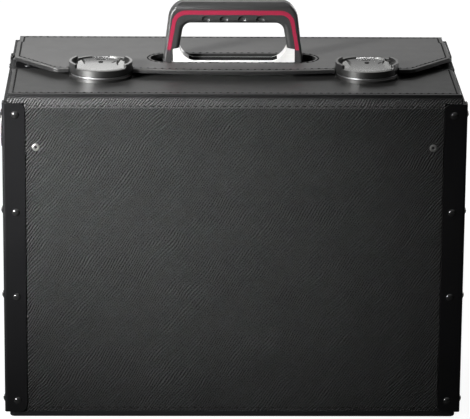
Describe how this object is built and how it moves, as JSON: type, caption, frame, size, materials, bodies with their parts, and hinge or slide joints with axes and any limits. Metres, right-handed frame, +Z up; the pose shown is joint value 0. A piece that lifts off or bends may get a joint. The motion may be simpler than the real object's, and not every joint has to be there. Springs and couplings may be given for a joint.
{
  "type": "tool case",
  "caption": "Upright leather tool case with riveted corner rails, a hinged lid and flap held by quarter-turn locks, a moulded carrying handle and swinging strap rings.",
  "frame": {"origin": "centre of the footprint, on the ground under the bottom tray", "axes": "+X to the right along the long side, +Y to the rear where the lid is hinged, +Z up"},
  "size_m": [0.4848, 0.2238, 0.413],
  "materials": {
    "leather_panel": "black grained, satin",
    "leather_top": "dark grey fine grain, satin",
    "leather_hinge": "black, satin",
    "tray_plastic": "moulded, matte",
    "lining_board": "fibreboard, matte",
    "black_rail": "satin black",
    "black_rivet": "gloss black",
    "nickel": "nickel plate",
    "steel": "zinc plate",
    "dark_chrome": "black chrome",
    "handle_grip": "soft, matte",
    "handle_stripe": "crimson, satin",
    "handle_base": "satin silver"
  },
  "bodies": {
    "case": {"bottom_tray": "tray_plastic", "bridge": "black_rail", "bridge_rivets": "steel", "floor_board": "lining_board", "front_eyelets": "nickel", "front_hinge_strip": "leather_hinge", "front_left_rail": "black_rail", "front_left_rail_rivets": "black_rivet", "front_right_rail": "black_rail", "front_right_rail_rivets": "black_rivet", "front_wall": "leather_panel", "handle_backing_plate": "black_rail", "handle_base": "handle_base", "handle_bolts": "steel", "handle_front_stripe": "handle_stripe", "handle_grip": "handle_grip", "handle_rear_stripe": "handle_stripe", "left_bridge_bracket": "black_rail", "left_ring_rivets": "nickel", "left_ring_tab": "nickel", "left_side_panel": "leather_panel", "left_side_wall": "leather_panel", "left_wall_channel": "black_rail", "middle_wall": "lining_board", "rear_hinge_strip": "leather_hinge", "rear_left_rail": "black_rail", "rear_left_rail_rivets": "black_rivet", "rear_right_rail": "black_rail", "rear_right_rail_rivets": "black_rivet", "rear_wall": "leather_panel", "right_bridge_bracket": "black_rail", "right_ring_rivets": "nickel", "right_ring_tab": "nickel", "right_side_panel": "leather_panel", "right_side_wall": "leather_panel", "right_wall_channel": "black_rail"},
    "lid": {"lid": "leather_top", "slot_binding": "leather_hinge", "left_lock_carrier": "steel", "right_lock_carrier": "steel", "carrier_rivets": "steel"},
    "flap": {"front_flap": "leather_top", "left_lock_base": "dark_chrome", "right_lock_base": "dark_chrome", "lock_base_screws": "steel"},
    "left_lock": {"left_knob": "dark_chrome", "left_cross_bolt": "steel", "left_knob_screw": "steel"},
    "right_lock": {"right_knob": "dark_chrome", "right_cross_bolt": "steel", "right_knob_screw": "steel"},
    "left_strap_ring": {"left_ring": "nickel"},
    "right_strap_ring": {"right_ring": "nickel"}
  },
  "joints": [
    {"name": "lid_open", "type": "hinge", "parent": "case", "child": "lid", "pos_m": [0, 0.1105, 0.349], "axis": [-1, 0, 0], "range_deg": [0, 180], "deforming": ["rear_hinge_strip"]},
    {"name": "flap_open", "type": "hinge", "parent": "case", "child": "flap", "pos_m": [0, -0.1105, 0.34], "axis": [1, 0, 0], "range_deg": [0, 180], "deforming": ["front_hinge_strip"]},
    {"name": "left_knob_turn", "type": "hinge", "parent": "lid", "child": "left_lock", "pos_m": [-0.1366, -0.034, 0.35], "axis": [0, 0, -1], "range_deg": [0, 90]},
    {"name": "right_knob_turn", "type": "hinge", "parent": "lid", "child": "right_lock", "pos_m": [0.1366, -0.034, 0.35], "axis": [0, 0, -1], "range_deg": [0, 90]},
    {"name": "left_ring_swing", "type": "hinge", "parent": "case", "child": "left_strap_ring", "pos_m": [-0.2385, 0, 0.295], "axis": [0, 1, 0], "range_deg": [0, 170]},
    {"name": "right_ring_swing", "type": "hinge", "parent": "case", "child": "right_strap_ring", "pos_m": [0.2385, 0, 0.295], "axis": [0, -1, 0], "range_deg": [0, 170]}
  ],
  "couplings": [
    {"joint": "flap_open", "follows": "lid_open", "ratio": 1}
  ]
}
